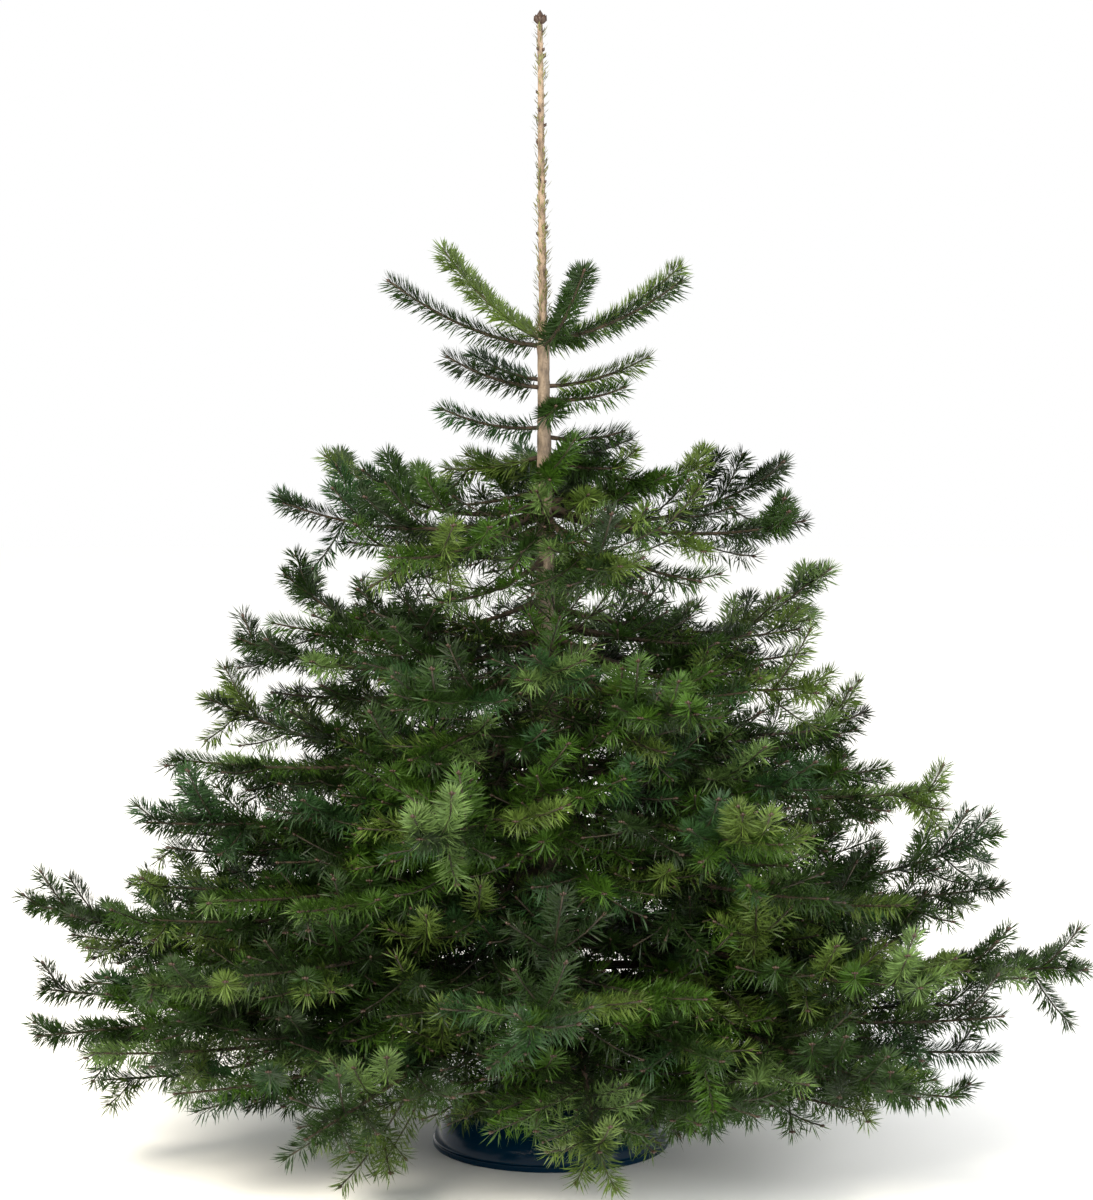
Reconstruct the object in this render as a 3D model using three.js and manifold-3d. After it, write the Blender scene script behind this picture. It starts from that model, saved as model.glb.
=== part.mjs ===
// A cut Nordmann fir, 1.5 m tall and dressed for Christmas only by its own shape, in a low round stand.
// Millimetres, +Z up. The origin is the centre of the stand's flat underside, and +X is the tree's right side.
//
// The fir grew a whorl of boughs each year. The youngest whorl, at the foot of the bare leader, is the smallest.
// Each bough ends in a flat fan: a stem that carries pairs of side shoots, every shoot a brush of needles.
// A mass of needles is one such fan, grown from one stem and kept clear of its neighbours.
import * as THREE from 'three';
import Module from 'manifold-3d';
import { mergeVertices } from 'three/addons/utils/BufferGeometryUtils.js';

const wasm = await Module();
wasm.setup();

// ---------------------------------------------------------------- driving dimensions
const TREE_TOP = 1500;          // underside of the stand to the tip of the leader
const CLEARANCE = 0.3;          // between pieces that touch
const STEM_GAP = 0.52;          // along a bough to its mass, which leaves the clearance between slanted ends
const SPACE_BETWEEN = 1.2;      // least space between two masses of needles

const TRUNK_LEAN = -14.5;       // how far the leader's tip stands left of the foot
const TRUNK_FOOT_RADIUS = 25;   // at the saw cut
const ROOT_FLARE = 4;           // added at the saw cut, gone a hand's width above it
const LEADER_FOOT = 1068;       // height of the youngest whorl, where the leader starts
const LEADER_FOOT_RADIUS = 7.4;
const LEADER_NECK_RADIUS = 5.4; // just above the youngest whorl
const LEADER_TIP_RADIUS = 3.2;
const TIP_BUD_RADIUS = 7.5;
const TIP_BUD_LENGTH = 17;

const STAND_RADIUS = 158;
const STAND_HEIGHT = 104;
const STAND_LIP = 8;            // height of the rim it stands on
const STAND_SHOULDER = 82;      // height where its rounded body meets the collar
const STAND_COLLAR_RADIUS = 46;
const STAND_FLOOR = 9;          // thickness under the saw cut
const STAND_GAP = 3;            // between the trunk and the collar's bore
const SHOULDER_STEPS = 5;
const SHOULDER_POWER = 1.2;     // the rounding of the body: 1 is a quarter of an ellipse, and more is flatter
const STAND_FACES = 22;
const SCREW_RADIUS = 5;
const SCREW_HEIGHT = 88;
const SCREW_REACH = 88;         // axis of the trunk to the screw's head
const SCREWS = 3;

const NEEDLE_SPREAD = 23;       // how far needles stand out to the side of a young shoot
const SPREAD_PER_YEAR = 4.5;    // added on older boughs, where one brush stands for a spray of shoots
const CORE_RADIUS = 2.2;        // of a side shoot, at its foot
const BARE_SHANK = 15;          // length of a shoot's foot with no needles
const NOTCH_SHARE = 0.3;        // depth that neighbouring locks of needles share
const NOTCH_THICKNESS = 2.4;
// The wings of a brush: the turn of each round its core in degrees, its length against the spread, and the
// turn of the core's corner before it.
const WINGS = [
  { turn: -30, share: 1, before: -90 },
  { turn: 90, share: 0.9, before: 30 },
  { turn: 210, share: 1, before: 150 },
];
const SIDE_SHOOT_ANGLE = 54;    // between a stem and its side shoots, degrees
const SIDE_SHOOT_SHARE = 0.84;  // length of a year old side shoot against its stem's yearly growth
const SHOOT_DRIFT = 0.38;       // most that a side shoot rises or sinks against its length
const FORK_SHARE = 0.42;        // where an older side shoot forks, and how long its forks are
const FORK_AGE = 3;             // age of a side shoot that forks, on a bough of FORKING_YEARS or more
const FORKING_YEARS = 5;

const WHORL_STEP = 4;           // neighbours in a whorl leave the trunk this far above and below its height

// One row for each whorl. height: where its boughs leave the trunk. years: the bough's age, which is the
// number of yearly growths along it. limb: share of the reach that is a bare bough. boughs: direction in
// degrees from +X towards +Y, reach from the trunk, lift of the tip over the foot, and for a shoot that
// stands between the whorls its own height.
const WHORLS = [
  { name: 'crown', height: 1068, years: 1, limb: 0, boughs: [
    [18, 200, 112], [-18, 195, 84], [-73, 185, 108], [135, 200, 127], [186, 210, 92]] },
  { name: 'between', height: 980, years: 1, limb: 0, boughs: [
    [5, 145, 42, 1016], [188, 135, 46, 1006], [152, 112, 36, 1024], [-22, 122, 20, 992],
    [196, 146, 30, 962], [-80, 98, 18, 972], [-4, 112, 10, 950], [20, 130, 22, 918]] },
  { name: 'upper', height: 852, years: 2, limb: 0, boughs: [
    [10, 330, 60], [-22, 365, -8], [-72, 310, -45], [232, 320, -45], [186, 350, 16], [157, 330, 62], [84, 300, 62]] },
  { name: 'middle', height: 684, years: 3, limb: 0, boughs: [
    [15, 395, 88], [-17, 385, -55], [-62, 400, -52], [248, 400, -40], [197, 420, 16], [160, 385, 70], [88, 370, 60]] },
  { name: 'broad', height: 510, years: 4, limb: 0, boughs: [
    [17, 460, 60], [-7, 530, -25], [-55, 500, -30], [252, 500, -20], [200, 550, -40], [165, 480, 70], [92, 480, 60]] },
  { name: 'lower', height: 352, years: 5, limb: 0.27, boughs: [
    [13, 640, 50], [-38, 600, -60], [-92, 610, -50], [217, 620, -60], [173, 710, -40], [96, 600, 15]] },
  { name: 'lowest', height: 240, years: 5, limb: 0.27, boughs: [
    [-6, 712, 18], [-43, 620, -80], [-84, 560, -104], [238, 560, -118], [197, 690, -45], [92, 590, -20]] },
];

const MATERIALS = {
  bark: new THREE.MeshStandardMaterial({ color: 0x8b7762, roughness: 0.9 }),
  bough: new THREE.MeshStandardMaterial({ color: 0x5b4a3c, roughness: 0.9 }),
  needles: new THREE.MeshStandardMaterial({ color: 0x2f4f24, roughness: 0.55 }),
  stand: new THREE.MeshStandardMaterial({ color: 0x12324a, roughness: 0.25 }),
};

const UP = new THREE.Vector3(0, 0, 1);
const radians = THREE.MathUtils.degToRad;

// ---------------------------------------------------------------- making solids

/** Numbers from 0 to 1 that are the same for the same seed. */
function dice(seed) {
  let state = seed;
  return () => {
    state = (state * 16807) % 2147483647;
    return state / 2147483647;
  };
}

/** A closed solid from vertices and triangles. */
function solidFrom(vertices, triangles) {
  const vertProperties = new Float32Array(vertices.flatMap((v) => [v.x, v.y, v.z]));
  return new wasm.Manifold(new wasm.Mesh({ numProp: 3, vertProperties, triVerts: new Uint32Array(triangles) }));
}

/** A closed solid from a three.js geometry. */
function solidOf(geometry) {
  const bare = new THREE.BufferGeometry().setAttribute('position', geometry.getAttribute('position'));
  bare.setIndex(geometry.index);
  const merged = mergeVertices(bare, 1e-3);
  return new wasm.Manifold(new wasm.Mesh({
    numProp: 3,
    vertProperties: merged.attributes.position.array,
    triVerts: new Uint32Array(merged.index.array),
  }));
}

/** A solid as a named mesh. */
function meshOf(solid, name, material) {
  const made = solid.getMesh();
  const geometry = new THREE.BufferGeometry();
  geometry.setAttribute('position', new THREE.BufferAttribute(new Float32Array(made.vertProperties), 3));
  geometry.setIndex(new THREE.BufferAttribute(new Uint32Array(made.triVerts), 1));
  geometry.computeVertexNormals();
  const mesh = new THREE.Mesh(geometry, material);
  mesh.name = name;
  return mesh;
}

/** The directions across a line: side is level, and over stands on it. */
function across(along) {
  const side = new THREE.Vector3().crossVectors(UP, along).normalize();
  return { side, over: new THREE.Vector3().crossVectors(along, side).normalize() };
}

/** A round tapering limb through points, with a radius at each, closed by flat ends. */
function limbSolid(points, radii, sides) {
  const vertices = [];
  points.forEach((point, i) => {
    const along = new THREE.Vector3().subVectors(
      points[Math.min(i + 1, points.length - 1)], points[Math.max(i - 1, 0)]).normalize();
    const upright = Math.abs(along.z) > 0.9;
    const side = upright ? new THREE.Vector3(1, 0, 0) : across(along).side;
    const over = upright ? new THREE.Vector3(0, 1, 0) : across(along).over;
    for (let k = 0; k < sides; k += 1) {
      const turn = (2 * Math.PI * k) / sides;
      vertices.push(point.clone()
        .addScaledVector(side, radii[i] * Math.cos(turn))
        .addScaledVector(over, radii[i] * Math.sin(turn)));
    }
  });
  const triangles = [];
  for (let i = 0; i + 1 < points.length; i += 1) {
    for (let k = 0; k < sides; k += 1) {
      const a = i * sides + k;
      const b = i * sides + ((k + 1) % sides);
      triangles.push(a, b, b + sides, a, b + sides, a + sides);
    }
  }
  const last = (points.length - 1) * sides;
  for (let k = 1; k + 1 < sides; k += 1) {
    triangles.push(0, k + 1, k, last, last + k, last + k + 1);
  }
  return solidFrom(vertices, triangles);
}

// ---------------------------------------------------------------- trunk

function trunkRadius(height) {
  if (height > LEADER_FOOT) {
    const share = (height - LEADER_FOOT) / (TREE_TOP - LEADER_FOOT);
    return THREE.MathUtils.lerp(LEADER_NECK_RADIUS, LEADER_TIP_RADIUS, share);
  }
  const share = height / LEADER_FOOT;
  return THREE.MathUtils.lerp(TRUNK_FOOT_RADIUS, LEADER_FOOT_RADIUS, share ** 0.9)
    + ROOT_FLARE * Math.exp(-height / 35);
}

function trunkCentre(height) {
  return new THREE.Vector3((TRUNK_LEAN * height) / TREE_TOP, 0, height);
}

/** The trunk and its leader as one solid, swelled by extra for cutting a clearance. */
function trunkSolid(extra) {
  const foot = STAND_FLOOR + CLEARANCE;
  const budFoot = TREE_TOP - TIP_BUD_LENGTH;
  const heights = [foot, 35, 75, 150, 352, 684, LEADER_FOOT - 14, LEADER_FOOT];
  const radii = heights.map(trunkRadius);
  radii[heights.length - 1] += 1.6;
  [LEADER_FOOT + 16, 1280, budFoot].forEach((height) => {
    heights.push(height);
    radii.push(trunkRadius(height));
  });
  heights.push(budFoot + 0.45 * TIP_BUD_LENGTH, budFoot + 0.8 * TIP_BUD_LENGTH, TREE_TOP);
  radii.push(TIP_BUD_RADIUS, 0.75 * TIP_BUD_RADIUS, 1.5);
  return limbSolid(heights.map(trunkCentre), radii.map((radius) => radius + extra), 12);
}

// ---------------------------------------------------------------- boughs

/**
 * A bough's line, from share 0 in the trunk to share 1 at its tip. It leaves the trunk on a seeded slant,
 * and is straight from the end of its bare limb.
 */
function boughLine(whorl, [turn, reach, lift, height = whorl.height], seed, step) {
  const roll = dice(seed);
  const slant = 0.35 * (roll() - 0.5) * whorl.limb * reach;
  const foot = trunkCentre(height + step);
  const out = new THREE.Vector3(Math.cos(radians(turn)), Math.sin(radians(turn)), 0);
  const side = new THREE.Vector3(-out.y, out.x, 0);
  return (share) => {
    const bend = whorl.limb ? Math.max(0, 1 - share / whorl.limb) ** 2 - 1 : 0;
    return foot.clone()
      .addScaledVector(out, reach * share)
      .addScaledVector(side, slant * bend * (1 - share))
      .addScaledVector(UP, lift * share + 0.25 * slant * bend * (1 - share));
  };
}

function boughRadius(whorl, share) {
  return (1.6 + 0.95 * whorl.years) * (1 - 0.8 * share) + 0.6;
}

// ---------------------------------------------------------------- brushes of needles

/**
 * A shoot as a brush: a slim tapering core with three toothed wings of needles, two out and one up. Each tooth
 * stands for a lock of needles that leans towards the tip. The notches, at the given shares of the length,
 * have a thickness. A stem's first lock is narrow, since its oldest needles have thinned, and the youngest
 * shoots have no wing on top.
 */
function brushSolid(foot, tip, coreRadius, needles, notches, { firstLock = 1, topWing = true } = {}) {
  const along = new THREE.Vector3().subVectors(tip, foot);
  const length = along.length();
  along.normalize();
  const { side, over } = across(along);
  const place = (u, v, turn, aside = 0) => foot.clone()
    .addScaledVector(along, u)
    .addScaledVector(side, v * Math.cos(turn) - aside * Math.sin(turn))
    .addScaledVector(over, v * Math.sin(turn) + aside * Math.cos(turn));

  const apex = 0;
  const footOf = (k) => 1 + (k % WINGS.length);
  const neckOf = (k) => 1 + WINGS.length + (k % WINGS.length);
  const ring = (u, radius) => WINGS.map(({ before }) => place(u, radius, radians(before)));
  const vertices = [place(length, 0, 0), ...ring(0, coreRadius), ...ring(BARE_SHANK, 0.85 * coreRadius)];
  const triangles = [footOf(2), footOf(1), footOf(0)];
  const ends = [...notches, 0.9];

  WINGS.forEach(({ turn, share }, k) => {
    const spread = share * needles;
    const flat = [new THREE.Vector2(BARE_SHANK, 0)];
    const upper = [neckOf(k + 1)];
    const lower = [neckOf(k)];
    triangles.push(footOf(k), footOf(k + 1), upper[0], footOf(k), upper[0], lower[0]);
    if (turn === 90 && !topWing) {
      triangles.push(lower[0], upper[0], apex);
      return;
    }
    ends.forEach((end, j) => {
      const start = j ? ends[j - 1] : 0;
      const last = j === ends.length - 1;
      const width = spread * (last ? 0.62 : 1) * (j ? 1 : firstLock);
      flat.push(new THREE.Vector2(length * (end - 0.08 * (end - start)), width));
      upper.push(vertices.length);
      lower.push(vertices.length);
      vertices.push(place(flat.at(-1).x, flat.at(-1).y, radians(turn)));
      if (last) return;
      flat.push(new THREE.Vector2(length * end, NOTCH_SHARE * spread));
      upper.push(vertices.length);
      lower.push(vertices.length + 1);
      vertices.push(place(flat.at(-1).x, flat.at(-1).y, radians(turn), NOTCH_THICKNESS / 2));
      vertices.push(place(flat.at(-1).x, flat.at(-1).y, radians(turn), -NOTCH_THICKNESS / 2));
    });
    flat.push(new THREE.Vector2(length, 0));
    upper.push(apex);
    lower.push(apex);
    THREE.ShapeUtils.triangulateShape(flat, []).forEach(([a, b, c]) => {
      triangles.push(upper[a], upper[b], upper[c], lower[c], lower[b], lower[a]);
    });
    triangles.push(upper[0], upper[1], lower[0]);
    for (let n = 2; n + 2 < flat.length; n += 2) {
      triangles.push(upper[n - 1], upper[n], lower[n], upper[n], upper[n + 1], lower[n]);
    }
  });
  return solidFrom(vertices, triangles);
}

// ---------------------------------------------------------------- space

const placed = [];

/** A solid with its box and the piece that owns it, as the tests for space need them. */
function entry(solid, owner) {
  return { solid, owner, box: solid.boundingBox() };
}

function boxesNear(a, b) {
  return [0, 1, 2].every((i) => a.min[i] - SPACE_BETWEEN < b.max[i] && b.min[i] - SPACE_BETWEEN < a.max[i]);
}

/** True where a solid stands clear of all that other owners have placed. */
function isClear(candidate) {
  return placed.every((other) => other.owner === candidate.owner
    || !boxesNear(candidate.box, other.box)
    || candidate.solid.minGap(other.solid, SPACE_BETWEEN) >= SPACE_BETWEEN);
}

/** Cuts a solid back from the trunk and keeps its largest piece. */
function clearOfTrunk(solid) {
  return solid.subtract(trunkWithClearance).decompose()
    .reduce((best, piece) => (piece.volume() > best.volume() ? piece : best));
}

// ---------------------------------------------------------------- masses of needles

/** The stem of a mass: one brush from its limb's end, or from the trunk, to the bough's tip. */
function growStem(mass) {
  const { whorl, line, reach } = mass;
  const from = whorl.limb ? whorl.limb + STEM_GAP / reach : 0.3 * trunkRadius(whorl.height) / reach;
  const notches = [];
  for (let half = 1; half < 2 * whorl.years; half += 1) {
    const share = half / (2 * whorl.years);
    const wanted = half % 2 === 0 || whorl.years < 3 || half === 2 * whorl.years - 1;
    if (wanted && share > from + 0.07) notches.push((share - from) / (1 - from));
  }
  const firstLock = whorl.years > 1 ? 0.5 : 1;
  const stem = brushSolid(line(from), line(1), 0.8 * boughRadius(whorl, from), mass.needles, notches, { firstLock });
  mass.solid = whorl.limb ? stem : clearOfTrunk(stem);
  placed.push(entry(mass.solid, mass));
}

/**
 * One side shoot from a point on a stem. It is tried level, then tilted up and down, then shorter, and is
 * skipped where it would leave its mass's own space or close a hollow.
 */
function growShoot(mass, fork, along, sideways, length, age) {
  const { side } = across(along);
  const drift = 2 * SHOOT_DRIFT * (mass.roll() - 0.5);
  for (const size of [1, 0.75]) {
    for (const tilt of [0, 0.25, -0.22, 0.5]) {
      const heading = along.clone().multiplyScalar(Math.cos(radians(SIDE_SHOOT_ANGLE)))
        .addScaledVector(side, sideways * Math.sin(radians(SIDE_SHOOT_ANGLE)))
        .addScaledVector(UP, tilt + drift)
        .normalize();
      const tip = fork.clone().addScaledVector(heading, size * length);
      const candidate = entry(brushSolid(fork, tip, CORE_RADIUS, mass.needles, [FORK_SHARE],
        { topWing: age > 1 }), mass);
      const joined = isClear(candidate) ? mass.solid.add(candidate.solid) : null;
      if (joined && joined.decompose().length === 1) {
        placed.push(candidate);
        mass.solid = joined;
        return { heading, length: size * length };
      }
    }
  }
  return null;
}

/** The pair of side shoots at the end of one year's growth. Each forks outwards where it is old enough. */
function growPair(mass, year) {
  const { whorl, line, reach } = mass;
  const share = year / whorl.years;
  if (share < whorl.limb + 0.05) return;
  const fork = line(share);
  const along = line(1).sub(fork).normalize();
  const age = whorl.years - year;
  const length = SIDE_SHOOT_SHARE * (reach / whorl.years) * age ** 0.75 * (0.9 + 0.2 * mass.roll());
  for (const sideways of [-1, 1]) {
    const shoot = growShoot(mass, fork, along, sideways, length, age);
    if (shoot && age >= FORK_AGE && whorl.years >= FORKING_YEARS) {
      const nextFork = fork.clone().addScaledVector(shoot.heading, FORK_SHARE * shoot.length);
      growShoot(mass, nextFork, shoot.heading, sideways, FORK_SHARE * shoot.length, 1);
    }
  }
}

// ---------------------------------------------------------------- stand

/** The stand: a low rounded body on a narrow lip, a collar bored for the trunk, and its screws. */
function standSolid() {
  const bore = TRUNK_FOOT_RADIUS + ROOT_FLARE + STAND_GAP;
  const profile = [[0, 0], [STAND_RADIUS - 2, 0], [STAND_RADIUS, 2], [STAND_RADIUS, STAND_LIP - 2]];
  for (let i = 0; i <= SHOULDER_STEPS; i += 1) {
    const turn = (i / SHOULDER_STEPS) * (Math.PI / 2);
    profile.push([
      THREE.MathUtils.lerp(STAND_COLLAR_RADIUS, STAND_RADIUS - 2, Math.cos(turn)),
      THREE.MathUtils.lerp(STAND_LIP, STAND_SHOULDER, Math.sin(turn) ** SHOULDER_POWER),
    ]);
  }
  profile.push([STAND_COLLAR_RADIUS, STAND_HEIGHT], [bore, STAND_HEIGHT], [bore, STAND_FLOOR], [0, STAND_FLOOR]);
  const points = profile.map(([radius, height]) => new THREE.Vector2(radius, height));
  const body = solidOf(new THREE.LatheGeometry(points, STAND_FACES).rotateX(Math.PI / 2));
  return Array.from({ length: SCREWS }, (_, i) => screwSolid(-90 + (360 * i) / SCREWS))
    .reduce((stand, screw) => stand.add(screw), body)
    .subtract(trunkWithClearance);
}

/** A clamping screw that runs in through the collar to the trunk, with a bar through its head. */
function screwSolid(turn) {
  const shank = new THREE.CylinderGeometry(SCREW_RADIUS, SCREW_RADIUS, SCREW_REACH, 6)
    .rotateZ(Math.PI / 2).translate(SCREW_REACH / 2, 0, 0);
  const head = new THREE.CylinderGeometry(8, 8, 10, 8).rotateZ(Math.PI / 2).translate(SCREW_REACH, 0, 0);
  const bar = new THREE.CylinderGeometry(3, 3, 44, 4).translate(SCREW_REACH, 0, 0);
  return solidOf(shank).add(solidOf(head)).add(solidOf(bar)).rotate([0, 0, turn]).translate([0, 0, SCREW_HEIGHT]);
}

// ---------------------------------------------------------------- the whole tree

const trunkWithClearance = trunkSolid(CLEARANCE);
const tree = new THREE.Group();
tree.name = 'christmas_tree';

const trunk = trunkSolid(0);
placed.push(entry(trunk, 'trunk'));
tree.add(meshOf(trunk, 'trunk', MATERIALS.bark));

const stand = standSolid();
placed.push(entry(stand, 'stand'));
tree.add(meshOf(stand, 'stand', MATERIALS.stand));

const masses = [];
WHORLS.forEach((whorl, w) => whorl.boughs.forEach((bough, b) => {
  const seed = 1000 * (w + 1) + 37 * (b + 1);
  const line = boughLine(whorl, bough, seed, b % 2 ? WHORL_STEP : -WHORL_STEP);
  masses.push({
    name: `needles_${whorl.name}_${b + 1}`,
    whorl,
    line,
    reach: bough[1],
    needles: NEEDLE_SPREAD + SPREAD_PER_YEAR * (whorl.years - 1),
    roll: dice(seed + 7),
  });
  if (!whorl.limb) return;
  const shares = [0.01, 0.5 * whorl.limb, whorl.limb];
  const limb = clearOfTrunk(limbSolid(shares.map(line), shares.map((share) => boughRadius(whorl, share)), 6));
  placed.push(entry(limb, `bough_${whorl.name}_${b + 1}`));
  tree.add(meshOf(limb, `bough_${whorl.name}_${b + 1}`, MATERIALS.bough));
}));

masses.forEach(growStem);
const oldest = Math.max(...WHORLS.map((whorl) => whorl.years));
for (let yearsLeft = 1; yearsLeft < oldest; yearsLeft += 1) {
  masses.filter(({ whorl }) => whorl.years > yearsLeft)
    .forEach((mass) => growPair(mass, mass.whorl.years - yearsLeft));
}
masses.forEach(({ name, solid }) => tree.add(meshOf(solid, name, MATERIALS.needles)));

export default tree;
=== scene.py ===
import itertools
import math

import bpy
import numpy as np
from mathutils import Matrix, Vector


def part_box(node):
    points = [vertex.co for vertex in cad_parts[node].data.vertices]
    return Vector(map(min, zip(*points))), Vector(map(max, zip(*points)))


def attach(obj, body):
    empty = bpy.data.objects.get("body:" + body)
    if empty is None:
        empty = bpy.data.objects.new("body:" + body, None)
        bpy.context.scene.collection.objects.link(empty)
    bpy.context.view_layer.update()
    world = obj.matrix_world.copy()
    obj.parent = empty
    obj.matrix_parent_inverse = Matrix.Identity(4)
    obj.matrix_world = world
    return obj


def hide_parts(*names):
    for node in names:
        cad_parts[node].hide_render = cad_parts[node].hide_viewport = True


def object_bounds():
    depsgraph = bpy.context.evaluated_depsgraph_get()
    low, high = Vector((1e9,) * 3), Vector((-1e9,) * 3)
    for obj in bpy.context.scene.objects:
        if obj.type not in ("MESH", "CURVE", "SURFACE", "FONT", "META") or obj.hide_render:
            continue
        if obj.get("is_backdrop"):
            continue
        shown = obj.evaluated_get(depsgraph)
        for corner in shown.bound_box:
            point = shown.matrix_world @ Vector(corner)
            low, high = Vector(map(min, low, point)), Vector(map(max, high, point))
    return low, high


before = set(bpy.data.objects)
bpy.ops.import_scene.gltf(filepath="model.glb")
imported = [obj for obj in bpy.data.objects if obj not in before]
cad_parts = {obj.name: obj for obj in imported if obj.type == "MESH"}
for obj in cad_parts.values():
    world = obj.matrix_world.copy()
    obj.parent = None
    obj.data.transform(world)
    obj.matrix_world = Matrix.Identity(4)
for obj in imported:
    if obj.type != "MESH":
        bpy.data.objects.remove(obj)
cad_low, cad_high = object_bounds()


# ======================================================================================= studio
# A pale floor in a white room, under a large soft window light from the upper left and a weaker light from
# the right. The camera stands 4.5 m in front of the tree at chest height and looks slightly down.

CAMERA_PLACE = (-0.006, -4.5, 1.2)
CAMERA_DIP = math.radians(5.96)
CAMERA_LENS = 102.9             # mm
CAMERA_SENSOR = 36              # mm, along the frame's long side
FLOOR_HALF = 9
FLOOR_HEX = "fbfbf9"


def linear(hex_colour, alpha=1.0):
    """An sRGB hex colour as the linear RGBA that a shader takes."""
    channels = [int(hex_colour[i:i + 2], 16) / 255 for i in (0, 2, 4)]
    return [c / 12.92 if c <= 0.04045 else ((c + 0.055) / 1.055) ** 2.4 for c in channels] + [alpha]


def add(tree, kind, inputs=None, **settings):
    """Adds a node: settings are its properties, and inputs maps a socket to a value or to the
    socket that it reads."""
    made = tree.nodes.new(kind)
    for name, value in settings.items():
        setattr(made, name, value)
    for name, value in (inputs or {}).items():
        if isinstance(value, bpy.types.NodeSocket):
            tree.links.new(value, made.inputs[name])
        else:
            made.inputs[name].default_value = value
    return made


def new_material(name):
    """A material with an empty node tree, and that tree."""
    material = bpy.data.materials.new(name)
    material.use_nodes = True
    material.node_tree.nodes.clear()
    return material, material.node_tree


def finish_surface(tree, **inputs):
    """Ends a material in a Principled shader with these inputs. A space in a socket's name is
    an underscore here."""
    shader = add(tree, "ShaderNodeBsdfPrincipled", {k.replace("_", " "): v for k, v in inputs.items()})
    add(tree, "ShaderNodeOutputMaterial", {"Surface": shader.outputs["BSDF"]})


camera_data = bpy.data.cameras.new("camera")
camera_data.sensor_width = CAMERA_SENSOR
camera_data.lens = CAMERA_LENS
camera = bpy.data.objects.new("camera", camera_data)
camera.location = CAMERA_PLACE
camera.rotation_euler = (math.radians(90) - CAMERA_DIP, 0, 0)
bpy.context.scene.collection.objects.link(camera)
bpy.context.scene.camera = camera

world = bpy.data.worlds.new("white_room")
world.use_nodes = True
world.node_tree.nodes["Background"].inputs["Color"].default_value = linear("ffffff")
world.node_tree.nodes["Background"].inputs["Strength"].default_value = 1.0
bpy.context.scene.world = world
bpy.context.scene.view_settings.view_transform = "Standard"


def soft_light(name, place, aim, size, watts, hex_colour):
    """A square area light of that size in metres, aimed at a point."""
    data = bpy.data.lights.new(name, "AREA")
    data.size = size
    data.energy = watts
    data.color = linear(hex_colour)[:3]
    light = bpy.data.objects.new(name, data)
    light.location = place
    light.rotation_euler = (Vector(aim) - Vector(place)).to_track_quat("-Z", "Y").to_euler()
    bpy.context.scene.collection.objects.link(light)


soft_light("window", place=(-2.2, -2.6, 3.4), aim=(0, 0, 0.7), size=2.6, watts=345, hex_colour="fff6e4")
soft_light("fill", place=(2.8, -2.4, 1.6), aim=(0, 0, 0.6), size=2.2, watts=125, hex_colour="ffffff")


def new_piece(name, vertices, faces, material, smooth=False):
    """A mesh object from arrays, at the origin."""
    mesh = bpy.data.meshes.new(name)
    vertices = np.asarray(vertices, np.float32)
    faces = [np.asarray(block, np.int32) for block in faces if len(block)]
    sides = np.concatenate([np.full(len(block), block.shape[1], np.int32) for block in faces])
    mesh.vertices.add(len(vertices))
    mesh.vertices.foreach_set("co", vertices.ravel())
    mesh.loops.add(int(sides.sum()))
    mesh.loops.foreach_set("vertex_index", np.concatenate([block.ravel() for block in faces]))
    mesh.polygons.add(len(sides))
    mesh.polygons.foreach_set("loop_start", np.concatenate([[0], np.cumsum(sides)[:-1]]).astype(np.int32))
    mesh.polygons.foreach_set("use_smooth", np.full(len(sides), smooth))
    mesh.update(calc_edges=True)
    mesh.validate()
    mesh.materials.append(material)
    piece = bpy.data.objects.new(name, mesh)
    bpy.context.scene.collection.objects.link(piece)
    return piece


floor_paint, tree = new_material("pale_floor")
finish_surface(tree, Base_Color=linear(FLOOR_HEX), Roughness=0.9)
h = FLOOR_HALF
floor = new_piece("floor", [(-h, -h, 0), (h, -h, 0), (h, h, 0), (-h, h, 0)], [[(0, 1, 2, 3)]], floor_paint)
floor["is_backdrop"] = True


# ======================================================================================= trunk
# The stem of a fir about seven years old: thin smooth grey bark with raised resin blisters and a ring of
# scars at each year's whorl, sawn flat at the foot. The leader above the last whorl is this year's wood.

TREE_TOP = cad_high.z
TRUNK_LEAN = -0.0145            # where the tip stands, left of the foot
TRUNK_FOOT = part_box("trunk")[0].z
TRUNK_FOOT_RADIUS = 0.025
TRUNK_TAPER = 0.9
ROOT_FLARE = 0.004
ROOT_FLARE_HEIGHT = 0.035
LEADER_FOOT = 1.068
LEADER_FOOT_RADIUS = 0.0074
LEADER_NECK_RADIUS = 0.0054
LEADER_TIP_RADIUS = 0.0032
LEADER_END = TREE_TOP - 0.012   # where the wood ends, inside the knot of buds
RING_STEP = 0.0035
TRUNK_SIDES = 48
WHORL_HEIGHTS = (0.240, 0.352, 0.510, 0.684, 0.852, LEADER_FOOT)
WHORL_SWELL = 0.0016
WHORL_SWELL_HEIGHT = 0.011
WHORL_SCARS = 0.0008
BARK_WAVES, BARK_RIDGES, BARK_GRAIN = 0.0009, 0.00045, 0.00022
BLISTERS = 420                  # resin blisters, most on the older bark
BLISTERS_LOWEST, BLISTERS_SPAN = 0.06, 0.98
BLISTER_SIZES = (0.0013, 0.0026)
BLISTER_RISE = 0.00055
LEADER_PEGS = 190               # the little pegs and scars of shed needles on the leader
PEG_BREADTH, PEG_LENGTH, PEG_RISE = 0.0012, 0.0022, 0.0008


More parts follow.
